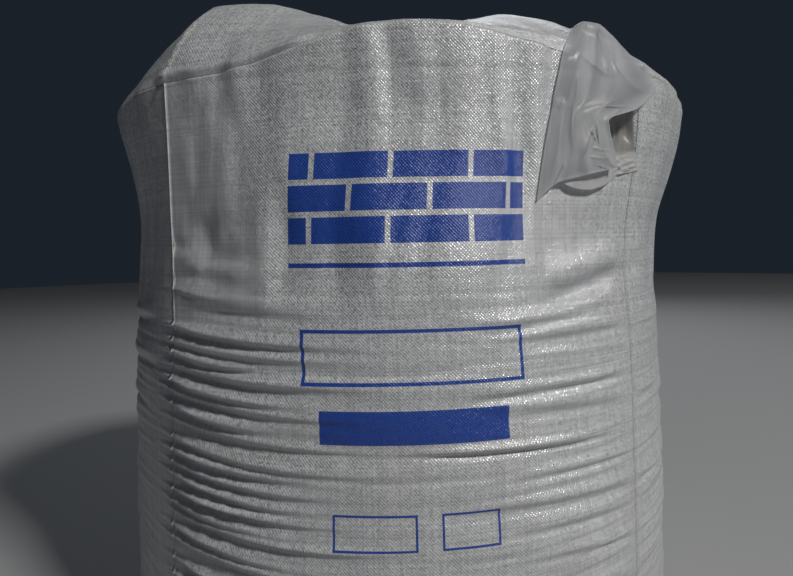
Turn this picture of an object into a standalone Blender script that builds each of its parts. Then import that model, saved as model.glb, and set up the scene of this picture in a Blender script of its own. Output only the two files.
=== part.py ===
"""A one-tonne bulk bag of cement, as it stands on level ground.

Four woven side panels and a woven base hold the cement. The panels are slack
above the fill, and the loose top skirt is folded back over them. The neck of
the film liner is pulled out over the front right of the top.

Metres, +Z up. The origin is the centre of the base, on the ground, and the
front of the bag faces -Y.
"""

import math

import bmesh
import bpy
from mathutils import Vector
from mathutils.bvhtree import BVHTree

# Cloth as cut
PANEL_WIDTH = 0.95
PANEL_THICK = 0.002
BASE_THICK = 0.002
SKIRT_THICK = 0.002
LINER_THICK = 0.0015
SEAM_GAP = 0.0003

# Heights above the ground
FILL_HEIGHT = 0.77
FILL_CROWN = 0.045
SEAM_HEIGHT = 1.16
FRONT_SEAM_RISE = 0.067
BACK_SEAM_RISE = 0.03

# Foot of the walls, where they run in to the flat base
FOOT_HEIGHT = 0.12
FOOT_CORNER_IN = 0.010
FOOT_SAG_LOSS = 0.125

# Belly low on the full part, where the cement presses hardest
BELLY_GROWTH = 0.019
BELLY_HEIGHT = 0.16
BELLY_REACH = 0.42

# Slack walls above the fill, with depths measured down from the seam
FRONT_SAG_LOSS = 0.070
BACK_SAG_LOSS = 0.060
WAIST_LOSS = 0.014
WAIST_DEPTH = 0.30
WAIST_REACH = 0.15
EAR_DEPTH = 0.28
EAR_GROWTH = 0.036
LEAN = 0.017
LEAN_TOP_DEPTH = 0.06

# Top skirt: its ridge above and inside the seam, its two humps and its dip
RIDGE_RISE = 0.075
RIDGE_INSET = 0.152
RIDGE_CURL = 1.55
RIDGE_CLIMB = 1.25
RIDGE_SHARE = 0.40
LEFT_HUMP_RISE = 0.093
LEFT_HUMP_BEARING = math.radians(-128.0)
LEFT_HUMP_SPREAD = math.radians(25.0)
RIGHT_HUMP_RISE = 0.054
RIGHT_HUMP_BEARING = math.radians(-60.0)
RIGHT_HUMP_SPREAD = math.radians(18.0)
TOP_DIP_DEPTH = 0.09

# Liner neck: the axis that it turns over, and its hang below the side seams
LINER_PIVOT_IN = 0.165
LINER_PIVOT_DEPTH = 0.060
LINER_TUCK_ANGLE = math.radians(130.0)
LINER_REST_GAP = 0.0008
LINER_LIFT = 0.014
LINER_STAND_OFF = 0.030
LINER_HANG = 0.225
LINER_MOUTH_RISE = 0.055

# Liner neck: distances of its edges left of the front right seam
LINER_TOP_LEFT = 0.130
LINER_TOP_RIGHT = 0.035
LINER_LOBE_REACH = 0.068
LINER_MOUTH_LEFT = 0.208
LINER_MOUTH_RIGHT = 0.060

# Mesh fineness
COLUMNS = 20
FOOT_ROWS = 4
FULL_ROWS = 5
SLACK_ROWS = 7
LINER_COLUMNS = 10
LINER_TOP_ROWS = 11
LINER_LIFT_ROWS = 2
LINER_FRONT_ROWS = 8

FULL_RADIUS = 4.0 * PANEL_WIDTH / math.tau
FULL_CORNER = FULL_RADIUS * math.cos(math.pi / 4.0)
FULL_SAG = FULL_RADIUS - FULL_CORNER
FLOOR_TOP = BASE_THICK + SEAM_GAP
SIDES = ("front", "right", "back", "left")
OUTWARD = {
    "front": Vector((0.0, -1.0, 0.0)),
    "right": Vector((1.0, 0.0, 0.0)),
    "back": Vector((0.0, 1.0, 0.0)),
    "left": Vector((-1.0, 0.0, 0.0)),
}
UP = Vector((0.0, 0.0, 1.0))


def clear_scene():
    """Remove every object that the file starts with."""
    for thing in list(bpy.data.objects):
        bpy.data.objects.remove(thing, do_unlink=True)


def smooth(value):
    """Ease from 0 to 1 as value runs from 0 to 1."""
    value = min(max(value, 0.0), 1.0)
    return value * value * (3.0 - 2.0 * value)


def cloth(name, color, roughness, alpha=1.0):
    """A Principled material for one kind of cloth or filling."""
    material = bpy.data.materials.new(name)
    material.use_nodes = True
    shader = material.node_tree.nodes["Principled BSDF"]
    shader.inputs["Base Color"].default_value = (*color, 1.0)
    shader.inputs["Roughness"].default_value = roughness
    shader.inputs["Metallic"].default_value = 0.0
    shader.inputs["Alpha"].default_value = alpha
    return material


def bell(value, width):
    """A rounded ridge of height 1 and the given half width."""
    return math.exp(-((value / width) ** 2))


def section(side, height):
    """Half the chord between two corner seams, and the panel's bulge past that chord."""
    foot = max(1.0 - height / FOOT_HEIGHT, 0.0) ** 2
    slack = smooth((height - FILL_HEIGHT) / (SEAM_HEIGHT - FILL_HEIGHT))
    ear = smooth((height - SEAM_HEIGHT + EAR_DEPTH) / EAR_DEPTH)
    change = {
        "front": -FRONT_SAG_LOSS * slack,
        "back": -BACK_SAG_LOSS * slack,
        "left": EAR_GROWTH * ear,
        "right": EAR_GROWTH * ear,
    }
    grown = BELLY_GROWTH * bell(height - BELLY_HEIGHT, BELLY_REACH)
    grown -= WAIST_LOSS * bell(height - SEAM_HEIGHT + WAIST_DEPTH, WAIST_REACH)
    corner = FULL_CORNER + grown * math.cos(math.pi / 4.0) - FOOT_CORNER_IN * foot
    sag = FULL_SAG + grown * (1.0 - math.cos(math.pi / 4.0)) - FOOT_SAG_LOSS * foot + change[side]
    return corner, sag


def lean(height):
    """How far the slack top stands over to the right."""
    return LEAN * smooth((height - FILL_HEIGHT) / (SEAM_HEIGHT - LEAN_TOP_DEPTH - FILL_HEIGHT))


def wall_point(side, across, height, inset):
    """A point on a side panel: across runs from -1 to 1, anticlockwise from above."""
    corner, sag = section(side, height)
    radius = (corner * corner + sag * sag) / (2.0 * sag)
    turn = across * math.asin(corner / radius)
    outward = OUTWARD[side]
    along = UP.cross(outward)
    flat = along * radius * math.sin(turn)
    flat += outward * (corner + sag - radius + radius * math.cos(turn))
    flat *= 1.0 - inset / flat.length
    return Vector((flat.x + lean(height), flat.y, height))


def seam_height(side, across):
    """Height of the seam between a side panel and the top skirt."""
    rise = {"front": FRONT_SEAM_RISE, "back": BACK_SEAM_RISE}.get(side, 0.0)
    return SEAM_HEIGHT + rise * math.cos(0.5 * math.pi * across) ** 2


def filled_rows():
    """Heights of the mesh rows from the ground to the top of the cement."""
    rows = [0.0]
    for step in range(FOOT_ROWS):
        rows.append(FLOOR_TOP + (FOOT_HEIGHT - FLOOR_TOP) * (step / FOOT_ROWS) ** 1.5)
    for step in range(FULL_ROWS + 1):
        rows.append(FOOT_HEIGHT + (FILL_HEIGHT - FOOT_HEIGHT) * step / FULL_ROWS)
    return rows


def row_height(row, side, across):
    """Height of a numbered mesh row at one place on the wall."""
    rows = filled_rows()
    if row < len(rows):
        return rows[row]
    top = seam_height(side, across) - 0.5 * SEAM_GAP
    return FILL_HEIGHT + (top - FILL_HEIGHT) * (row - len(rows) + 1) / SLACK_ROWS


def square_place(x, y):
    """Side, place across it and distance from the middle of a point on a 2 by 2 square."""
    reach = max(abs(x), abs(y))
    if reach < 1e-6:
        return "front", 0.0, 0.0
    if -y >= reach - 1e-6:
        return "front", x / reach, reach
    if x >= reach - 1e-6:
        return "right", y / reach, reach
    if y >= reach - 1e-6:
        return "back", -x / reach, reach
    return "left", -y / reach, reach


def wall_spot(spot, middle, levels):
    """Place of a corner in its own side of a square block, in mesh columns and rows."""
    side = square_place(middle.x, middle.y)[0]
    along = UP.cross(OUTWARD[side])
    if abs(middle.x) < 1.0 - 1e-6 and abs(middle.y) < 1.0 - 1e-6:
        return spot.x * COLUMNS, spot.y * COLUMNS
    return spot.dot(along) * COLUMNS, spot.z * levels * 2.0


def ridge_height(bearing):
    """Height of the skirt's ridge, with a hump over each front corner."""
    left = math.remainder(bearing - LEFT_HUMP_BEARING, math.tau)
    right = math.remainder(bearing - RIGHT_HUMP_BEARING, math.tau)
    height = SEAM_HEIGHT + RIDGE_RISE
    height += LEFT_HUMP_RISE * bell(left, LEFT_HUMP_SPREAD)
    return height + RIGHT_HUMP_RISE * bell(right, RIGHT_HUMP_SPREAD)


def skirt_face(x, y):
    """A point on the top skirt's outer face, from its seam over the ridge to the dip."""
    side, across, reach = square_place(x, y)
    seam_top = seam_height(side, across) + 0.5 * SEAM_GAP
    seam = wall_point(side, across, seam_top, 0.0)
    flat = Vector((seam.x, seam.y, 0.0))
    out = flat.normalized()
    top = ridge_height(math.atan2(flat.y, flat.x))
    run = 1.0 - reach
    step = min(run / RIDGE_SHARE, 1.0)
    share = max((run - RIDGE_SHARE) / (1.0 - RIDGE_SHARE), 0.0)
    place = (flat - out * RIDGE_INSET * step**RIDGE_CURL) * (1.0 - share)
    height = seam_top + (top - seam_top) * (1.0 - (1.0 - step) ** RIDGE_CLIMB)
    bottom = SEAM_HEIGHT + RIDGE_RISE - TOP_DIP_DEPTH
    return place + UP * (height + (bottom - top) * smooth(share))


def skirt_point(x, y, inset):
    """A point on the top skirt, at a depth below its outer face."""
    reach = max(abs(x), abs(y))
    face = skirt_face(x, y)
    level = Vector((face.x, face.y, 0.0))
    if reach < 0.05:
        return face - UP * inset
    if reach > 0.999:
        return face - level.normalized() * inset
    inner = skirt_face(x * (1.0 - 0.01 / reach), y * (1.0 - 0.01 / reach))
    facing = (face - inner).cross(UP.cross(level)).normalized()
    return face - facing * math.copysign(inset, facing.z)


def slab(columns, rows):
    """A closed flat slab: its face at depth 0 is x and y from -1 to 1, its back at depth 1."""
    mesh = bmesh.new()
    bmesh.ops.create_grid(mesh, x_segments=columns, y_segments=rows, size=1.0)
    grown = bmesh.ops.extrude_face_region(mesh, geom=mesh.faces[:])
    back = [item for item in grown["geom"] if isinstance(item, bmesh.types.BMVert)]
    bmesh.ops.translate(mesh, verts=back, vec=(0.0, 0.0, -1.0))
    return mesh


def split_quads(mesh, place):
    """Cut every quad along its rising diagonal, so that neighbouring solids share their facets."""
    for face in [face for face in mesh.faces if len(face.verts) == 4]:
        middle = face.calc_center_median()
        spots = [(vert, place(vert.co, middle)) for vert in face.verts]
        low = min(spots, key=lambda spot: spot[1][0] + spot[1][1])[0]
        high = max(spots, key=lambda spot: spot[1][0] + spot[1][1])[0]
        if face in low.link_faces and not [e for e in low.link_edges if high in e.verts]:
            bmesh.utils.face_split(face, low, high)


def finish(mesh, name, material):
    """Turn a bmesh into a named, smooth-shaded object with its material."""
    bmesh.ops.recalc_face_normals(mesh, faces=mesh.faces)
    if mesh.calc_volume(signed=True) < 0.0:
        bmesh.ops.reverse_faces(mesh, faces=mesh.faces)
    data = bpy.data.meshes.new(name)
    mesh.to_mesh(data)
    mesh.free()
    data.shade_smooth()
    data.set_sharp_from_angle(angle=math.radians(50.0))
    data.materials.append(material)
    thing = bpy.data.objects.new(name, data)
    bpy.context.scene.collection.objects.link(thing)
    return thing


def side_panel(side, material):
    """One woven side panel, from the ground to the skirt's seam."""
    row_count = len(filled_rows()) - 1 + SLACK_ROWS
    margin = 1.0 - SEAM_GAP / PANEL_WIDTH
    mesh = slab(COLUMNS, row_count)
    split_quads(mesh, lambda spot, middle: (spot.x * COLUMNS, spot.y * row_count))
    for vert in mesh.verts:
        row = round((vert.co.y + 1.0) * 0.5 * row_count)
        across = vert.co.x * margin
        height = row_height(row, side, across)
        vert.co = wall_point(side, across, height, -vert.co.z * PANEL_THICK)
    return finish(mesh, side + "_panel", material)


def base_panel(material):
    """The woven base, flat on the ground inside the feet of the side panels."""
    mesh = slab(COLUMNS, COLUMNS)
    for vert in mesh.verts:
        side, across, reach = square_place(vert.co.x, vert.co.y)
        edge = wall_point(side, across, 0.0, PANEL_THICK + SEAM_GAP)
        vert.co = Vector((edge.x * reach, edge.y * reach, (1.0 + vert.co.z) * BASE_THICK))
    flat = [edge for edge in mesh.edges if edge.calc_face_angle(1.0) < math.radians(1.0)]
    bmesh.ops.dissolve_edges(mesh, edges=flat, use_verts=False)
    bare = [vert for vert in mesh.verts if not vert.link_edges]
    bmesh.ops.delete(mesh, geom=bare, context="VERTS")
    return finish(mesh, "base_panel", material)


def cement_fill(material):
    """The cement: it fills the bag to its fill height, under a low crown."""
    levels = len(filled_rows()) - 1
    inset = PANEL_THICK + SEAM_GAP
    mesh = slab(COLUMNS, COLUMNS)
    upright = [edge for edge in mesh.edges if abs(edge.verts[0].co.z - edge.verts[1].co.z) > 0.5]
    bmesh.ops.subdivide_edges(mesh, edges=upright, cuts=levels - 2)
    split_quads(mesh, lambda spot, middle: wall_spot(spot, middle, levels - 1))
    for vert in mesh.verts:
        side, across, reach = square_place(vert.co.x, vert.co.y)
        level = levels + round(vert.co.z * (levels - 1))
        edge = wall_point(side, across, row_height(level, side, across), inset)
        crown = FILL_CROWN * math.cos(0.5 * math.pi * reach) ** 2 if level == levels else 0.0
        vert.co = Vector((edge.x * reach, edge.y * reach, edge.z + crown))
    return finish(mesh, "cement_fill", material)


def top_skirt(material):
    """The loose top skirt, folded back over the bag and sunk in the middle."""
    mesh = slab(COLUMNS, COLUMNS)
    split_quads(mesh, lambda spot, middle: (spot.x, spot.y))
    for vert in mesh.verts:
        vert.co = skirt_point(vert.co.x, vert.co.y, -vert.co.z * SKIRT_THICK)
    return finish(mesh, "top_skirt", material)


def surface_tree(things):
    """One search tree over the faces of several objects."""
    verts = []
    faces = []
    for thing in things:
        start = len(verts)
        verts += [vert.co.copy() for vert in thing.data.vertices]
        faces += [[start + index for index in face.vertices] for face in thing.data.polygons]
    return BVHTree.FromPolygons(verts, faces)


def liner_edges(share):
    """X of the neck's left and right edges, from the tucked end (0) to the mouth (1)."""
    seam = FULL_CORNER + LEAN
    left = LINER_TOP_LEFT + (LINER_MOUTH_LEFT - LINER_TOP_LEFT) * share
    right = LINER_TOP_RIGHT + (LINER_MOUTH_RIGHT - LINER_TOP_RIGHT) * share
    lobe = math.sin(math.pi * min(max((share - 0.2) / 0.6, 0.0), 1.0)) ** 2
    return seam - left, seam - right + LINER_LOBE_REACH * lobe


def liner_neck(carriers, material):
    """The neck of the film liner, folded out over the top edge and hanging down the front."""
    tree = surface_tree(carriers)
    rows = LINER_TOP_ROWS + LINER_FRONT_ROWS
    pivot_y = wall_point("front", 0.0, SEAM_HEIGHT, 0.0).y + LINER_PIVOT_IN
    pivot_z = SEAM_HEIGHT - LINER_PIVOT_DEPTH
    mesh = slab(LINER_COLUMNS, rows)
    for vert in mesh.verts:
        row = round((1.0 - vert.co.y) * 0.5 * rows)
        across = 0.5 * (vert.co.x + 1.0)
        if row <= LINER_TOP_ROWS:
            angle = LINER_TUCK_ANGLE * (1.0 - row / LINER_TOP_ROWS)
            drop = 0.0
            share = 0.5 * smooth(row / LINER_TOP_ROWS)
        else:
            angle = 0.0
            lower = (row - LINER_TOP_ROWS) / LINER_FRONT_ROWS
            mouth = SEAM_HEIGHT - LINER_HANG + LINER_MOUTH_RISE * smooth(across)
            drop = (pivot_z - mouth) * lower
            share = 0.5 + 0.5 * lower
        left, right = liner_edges(share)
        out = Vector((0.0, -math.cos(angle), math.sin(angle)))
        target = Vector((left + (right - left) * across, pivot_y, pivot_z - drop))
        hit = tree.ray_cast(target + out, -out)[0]
        off = LINER_REST_GAP + LINER_LIFT * smooth(row / LINER_LIFT_ROWS)
        off += (LINER_STAND_OFF - LINER_LIFT) * smooth((row - LINER_LIFT_ROWS) / (rows - LINER_LIFT_ROWS))
        vert.co = hit + out * (off + (1.0 + vert.co.z) * LINER_THICK)
    return finish(mesh, "liner_neck", material)


def main():
    """Build the bag, from the cement outwards."""
    clear_scene()
    woven = cloth("woven_cloth", (0.72, 0.74, 0.76), 0.45)
    film = cloth("liner_film", (0.80, 0.80, 0.78), 0.25, 0.7)
    cement = cloth("cement", (0.36, 0.35, 0.33), 0.9)
    cement_fill(cement)
    base_panel(woven)
    panels = {side: side_panel(side, woven) for side in SIDES}
    skirt = top_skirt(woven)
    liner_neck([skirt, panels["front"], panels["right"]], film)


main()
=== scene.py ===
"""The looks of a one-tonne bulk bag of cement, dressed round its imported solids.

The woven panels, the top skirt and the film neck are modelled as cloth and
film, with the folds that the bag has where it is full and where it is slack.
Metres, +Z up, and the front of the bag faces -Y.
"""

import logging
import math
from dataclasses import dataclass, field
from enum import Enum
from typing import Callable, Iterator, Sequence

import bmesh
import bpy
import numpy as np
from mathutils import Euler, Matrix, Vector
from mathutils.bvhtree import BVHTree

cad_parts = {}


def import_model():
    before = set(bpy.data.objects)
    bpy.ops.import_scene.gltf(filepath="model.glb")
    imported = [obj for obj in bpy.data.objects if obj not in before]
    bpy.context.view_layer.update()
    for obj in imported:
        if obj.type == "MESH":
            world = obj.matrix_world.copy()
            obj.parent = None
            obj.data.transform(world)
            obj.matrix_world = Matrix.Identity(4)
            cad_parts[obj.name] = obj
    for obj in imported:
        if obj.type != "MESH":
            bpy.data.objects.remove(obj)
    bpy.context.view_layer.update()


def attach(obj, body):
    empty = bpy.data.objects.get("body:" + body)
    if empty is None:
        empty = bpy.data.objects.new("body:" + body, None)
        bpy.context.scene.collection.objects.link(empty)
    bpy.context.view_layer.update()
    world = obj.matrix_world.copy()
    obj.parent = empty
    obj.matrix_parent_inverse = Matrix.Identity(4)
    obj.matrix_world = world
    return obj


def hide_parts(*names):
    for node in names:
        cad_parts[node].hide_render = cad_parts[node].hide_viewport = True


LOG = logging.getLogger("cement_bag")
BODY = "root"
CLOTH_MAP = "cloth"
TINY = 1e-9
STEEP_START = 1.25  # the power of a rise that starts steep and ends level
Array = np.ndarray
Pair = tuple[float, float]
Triple = tuple[float, float, float]
Color = tuple[float, float, float, float]
Table = tuple[tuple[float, ...], ...]
Cloth = tuple[Array, Array]  # points, and their places on the flat cloth


class Side(Enum):
    """The four walls of the bag, anticlockwise from above."""

    FRONT = 0
    RIGHT = 1
    BACK = 2
    LEFT = 3

    @property
    def outward(self) -> Array:
        """The level direction that the wall faces."""
        bearing = 0.5 * math.pi * (self.value - 1)
        return np.array([math.cos(bearing), math.sin(bearing)])

    @property
    def along(self) -> Array:
        """The level direction along the wall, anticlockwise from above."""
        outward = self.outward
        return np.array([-outward[1], outward[0]])

    @property
    def node(self) -> str:
        """The name of the wall's CAD node."""
        return f"{self.name.lower()}_panel"


def ease(value: Array) -> Array:
    """A smooth step from 0 to 1 as the value runs from 0 to 1."""
    share = np.clip(value, 0.0, 1.0)
    return share * share * (3.0 - 2.0 * share)


def rising(value: Array, start: float, reach: float) -> Array:
    """A smooth step from 0 at the start to 1 past the reach."""
    return ease((value - start) / reach)


def fading(value: Array, start: float, reach: float) -> Array:
    """A smooth step from 1 at the start to 0 past the reach."""
    return 1.0 - rising(value, start, reach)


def within(value: Array, low: float, high: float) -> Array:
    """A smooth step from 0 at low to 1 at high."""
    return ease((value - low) / (high - low))


def bell(value: Array, width: float) -> Array:
    """A rounded ridge of height 1 and the given half width."""
    return np.exp(-((value / width) ** 2))


def outwards(points: Array) -> Array:
    """The level direction from the bag's axis to each point."""
    return points[:, :2] / np.maximum(np.linalg.norm(points[:, :2], axis=1), 1e-6)[:, None]


def roll(off: Array, above: Array, below: Array) -> Array:
    """A roll of cloth of height 1 that rises slowly from above and tucks in sharply below.

    Args:
        off: Height over the roll's crest.
        above: How far up the roll reaches.
        below: How far down it takes to tuck in.

    Returns:
        The share of the roll's full lift.
    """
    rise = np.clip(1.0 - np.maximum(off, 0.0) / above, 0.0, 1.0) ** STEEP_START
    tuck = np.exp(-((np.minimum(off, 0.0) / below) ** 2))
    hollow, drop, width = 0.25, 2.4, 1.4
    return rise * tuck - hollow * bell(off + drop * below, width * below)


def draw(random: np.random.Generator, spans: Table) -> list[float]:
    """One random value from each span, in their order."""
    return [random.uniform(*span) for span in spans]


class SmoothNoise:
    """Smooth random values on a plane, the same on each run."""

    rows: int = 256

    def __init__(self, seed: int, around: int = 64) -> None:
        """Draw the lattice.

        Args:
            seed: Which random lattice to draw.
            around: Number of cells after which the first axis repeats.
        """
        self.around = around
        self.values = np.random.default_rng(seed).uniform(-1.0, 1.0, (around, self.rows))

    def at(self, first: Array, second: Array) -> Array:
        """Read the noise.

        Args:
            first: Place along the repeating axis, in cells.
            second: Place along the other axis, in cells.

        Returns:
            Values from -1 to 1.
        """
        column = np.floor(first).astype(int)
        row = np.floor(second).astype(int)
        across = ease(first - column)
        up = ease(second - row)
        left, right = column % self.around, (column + 1) % self.around
        low, high = row % self.rows, (row + 1) % self.rows
        bottom = self.values[left, low] * (1.0 - across) + self.values[right, low] * across
        top = self.values[left, high] * (1.0 - across) + self.values[right, high] * across
        return bottom * (1.0 - up) + top * up


@dataclass(frozen=True)
class BagForm:
    """The smooth shape that the cloth takes, without its folds."""

    panel_width: float = 0.95
    fill_height: float = 0.77
    seam_height: float = 1.16
    slack_start: float = 0.03
    slack_reach: float = 0.12
    foot_height: float = 0.12
    foot_corner_in: float = 0.010
    foot_bulge_loss: float = 0.125
    belly: float = 0.019
    belly_height: float = 0.16
    belly_reach: float = 0.42
    waist_loss: float = 0.014
    waist_height: float = 0.86
    waist_reach: float = 0.15
    front_flat: float = 0.070
    back_flat: float = 0.060
    plane_end: float = -0.22
    plane_blend: float = 0.05
    plane_share: float = 0.66
    seam_droop: float = 0.011
    ear_start: float = 0.88
    ear: float = 0.036
    lean: float = 0.017
    lean_start: float = 0.77
    lean_end: float = 1.10
    front_rise: float = 0.067
    back_rise: float = 0.03
    left_droop: float = 0.042
    right_droop: float = 0.062
    ridge_rise: float = 0.075
    # bearing in degrees, rise and spread in degrees
    humps: Table = ((-128.0, 0.085, 27.0), (-60.0, 0.054, 18.0))
    ridge_inset: float = 0.152
    ridge_share: float = 0.34
    ridge_curl: float = 1.55
    crests: tuple[float, ...] = (0.0, 0.012, 0.014, 0.016)
    crest_width: float = 0.035
    crest_peak: float = 0.15
    facet_flat: float = 0.35
    facet_middle: float = -112.0
    facet_spread: float = 30.0
    corner_inset: float = 0.1025
    corner_bow: float = 0.010
    corner_width: float = 0.12
    corner_spread: float = 0.012
    dip: float = 0.09

    @property
    def full_radius(self) -> float:
        """Radius of the round section that the four panels make when full."""
        return 4.0 * self.panel_width / math.tau

    @property
    def around(self) -> float:
        """The way round the bag."""
        return 4.0 * self.panel_width

    def section(self, side: Side, height: Array) -> tuple[Array, Array]:
        """Half the chord between two corner seams, and the panel's bulge past that chord.

        Args:
            side: Which wall.
            height: Height above the floor.

        Returns:
            The half chord and the bulge at each height.
        """
        foot = np.clip(1.0 - height / self.foot_height, 0.0, 1.0) ** 2
        slack = within(height, self.fill_height, self.seam_height)
        ear = within(height, self.ear_start, self.seam_height)
        change = {
            Side.FRONT: -self.front_flat * slack,
            Side.BACK: -self.back_flat * slack,
            Side.LEFT: self.ear * ear,
            Side.RIGHT: self.ear * ear,
        }[side]
        radius = self.full_radius + self.belly * bell(height - self.belly_height, self.belly_reach)
        radius -= self.waist_loss * bell(height - self.waist_height, self.waist_reach)
        corner = radius * math.cos(0.25 * math.pi) - self.foot_corner_in * foot
        bulge = radius * (1.0 - math.cos(0.25 * math.pi)) - self.foot_bulge_loss * foot + change
        return corner, bulge

    def wall(self, side: Side, across: Array, height: Array) -> Array:
        """Points on a side panel.

        Args:
            side: Which wall.
            across: Place across the wall, -1 to 1, anticlockwise from above.
            height: Height above the floor.

        Returns:
            Points, one row each.
        """
        corner, bulge = self.section(side, height)
        radius = (corner**2 + bulge**2) / (2.0 * bulge)
        turn = across * np.arcsin(np.clip(corner / radius, -1.0, 1.0))
        sideways = radius * np.sin(turn)
        out = bulge - radius + radius * np.cos(turn)
        if side is Side.FRONT:
            start = bulge - radius + np.sqrt(radius**2 - self.plane_end**2)
            out = self.flattened(sideways, out, corner, start, height)
        level = np.outer(sideways, side.along) + np.outer(corner + out, side.outward)
        level[:, 0] += self.lean * within(height, self.lean_start, self.lean_end)
        return np.column_stack([level, height])

    def flattened(self, sideways: Array, out: Array, corner: Array, start: Array, height: Array) -> Array:
        """Pull the slack front flat beside its left seam.

        Args:
            sideways: Place along the wall from its middle.
            out: Bulge past the chord between the two seams.
            corner: Half that chord.
            start: Bulge where the flat part starts.
            height: Height above the floor.

        Returns:
            The flattened bulge.
        """
        slack = rising(height - self.fill_height, self.slack_start, self.slack_reach)
        plane = start * (sideways + corner) / (self.plane_end + corner)
        near = ease((self.plane_end + self.plane_blend - sideways) / (2.0 * self.plane_blend))
        return out + (np.minimum(plane, out) - out) * near * slack * self.plane_share

    def seam(self, side: Side, across: Array) -> Array:
        """Height of the seam between a side panel and the top skirt.

        Args:
            side: Which wall.
            across: Place across the wall, -1 to 1.

        Returns:
            The seam's height above the floor.
        """
        rise = {
            Side.FRONT: self.front_rise,
            Side.BACK: self.back_rise,
            Side.LEFT: -self.left_droop,
            Side.RIGHT: -self.right_droop,
        }[side]
        height = self.seam_height + rise * np.cos(0.5 * math.pi * across) ** 2
        if side is Side.FRONT:
            height -= self.seam_droop * np.sin(math.pi * across) ** 2 * (across < 0.0)
        return height

    def girth(self, side: Side, across: Array) -> Array:
        """Distance round the bag from the front left seam, in metres."""
        return (side.value + 0.5 * (across + 1.0)) * self.panel_width

    def by_side(self, girth: Array) -> Iterator[tuple[Side, Array, Array]]:
        """Sort points round the bag by wall.

        Args:
            girth: Distance round the bag from the front left seam.

        Yields:
            Each wall, which points are on it, and their places across it.
        """
        turn = (girth / self.panel_width) % 4.0
        for side in Side:
            here = np.floor(turn).astype(int) == side.value
            yield side, here, 2.0 * (turn[here] - side.value) - 1.0

    def seam_at(self, girth: Array) -> Array:
        """Height of the top seam.

        Args:
            girth: Distance round the bag from the front left seam.

        Returns:
            Height above the floor.
        """
        height = np.zeros_like(girth)
        for side, here, across in self.by_side(girth):
            height[here] = self.seam(side, across)
        return height

    def skirt(self, girth: Array, reach: Array) -> Array:
        """Points on the top skirt.

        Args:
            girth: Distance round the bag from the front left seam.
            reach: 1 on the seam and 0 in the middle of the top.

        Returns:
            Points, one row each.
        """
        points = np.zeros((len(girth), 3))
        for side, here, across in self.by_side(girth):
            seam = self.wall(side, across, self.seam(side, across))
            points[here] = self.fold_over(seam, reach[here], girth[here])
        return points

    def corner_gap(self, girth: Array, corner: int) -> Array:
        """Distance along the bag's girth from a corner seam, negative before it."""
        half = 0.5 * self.around
        return (girth - corner * self.panel_width + half) % self.around - half

    def disc(self, x: Array, y: Array, height: float, inset: float) -> Array:
        """Level points that fill the bag's section.

        Args:
            x: First place on a square from -1 to 1, whose rim is the wall.
            y: Second place on that square.
            height: Height of the points.
            inset: Distance of the rim inside the wall.

        Returns:
            Points, one row each.
        """
        reach = np.maximum(np.abs(x), np.abs(y))
        points = np.zeros((len(x), 3))
        left_over = np.ones(len(x), dtype=bool)
        for side in Side:
            out = x * side.outward[0] + y * side.outward[1]
            sideways = x * side.along[0] + y * side.along[1]
            here = left_over & (out >= reach - TINY)
            left_over &= ~here
            across = (sideways / np.maximum(reach, TINY))[here]
            level = self.wall(side, across, np.full(int(here.sum()), height))[:, :2]
            far = np.linalg.norm(level, axis=1)
            points[here, :2] = level * ((far - inset) / far * reach[here])[:, None]
        points[:, 2] = height
        return points

    def crest(self, girth: Array) -> Array:
        """How far the skirt stands out along the corner seams that go on up it."""
        gaps = (np.abs(self.corner_gap(girth, corner)) for corner in range(4))
        return sum(lift * np.exp(-gap / self.crest_width) for lift, gap in zip(self.crests, gaps))

    def fold_over(self, seam: Array, reach: Array, girth: Array) -> Array:
        """Carry points from the seam over the ridge and down into the middle of the top.

        Args:
            seam: The points on the seam that the cloth starts from.
            reach: 1 on the seam and 0 in the middle of the top.
            girth: Distance round the bag of each point.

        Returns:
            Points, one row each.
        """
        bearing = np.degrees(np.arctan2(seam[:, 1], seam[:, 0]))
        ridge_height = np.full(len(seam), self.seam_height + self.ridge_rise)
        for middle, rise, spread in self.humps:
            ridge_height += rise * bell((bearing - middle + 180.0) % 360.0 - 180.0, spread)
        run = 1.0 - reach
        step = np.clip(run / self.ridge_share, 0.0, 1.0)
        climbed = 1.0 - (1.0 - step) ** STEEP_START
        crested = step / self.crest_peak * np.exp(1.0 - step / self.crest_peak)
        curl = self.ridge_curl - self.facet_flat * bell(bearing - self.facet_middle, self.facet_spread)
        round_inset = self.ridge_inset * step**curl - self.crest(girth) * crested
        straight = self.corner_inset * climbed - self.corner_bow * np.sin(math.pi * step)
        gap = np.hypot(self.corner_gap(girth, 0), self.corner_spread * step)
        inset = round_inset + (straight - round_inset) * np.exp(-gap / self.corner_width)
        over = seam[:, :2] - outwards(seam) * inset[:, None]
        climb = seam[:, 2] + (ridge_height - seam[:, 2]) * climbed
        share = np.clip((run - self.ridge_share) / (1.0 - self.ridge_share), 0.0, 1.0)
        bottom = self.seam_height + self.ridge_rise - self.dip
        height = climb + (bottom - ridge_height) * ease(share)
        return np.column_stack([over * (1.0 - share)[:, None], height])


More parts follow.
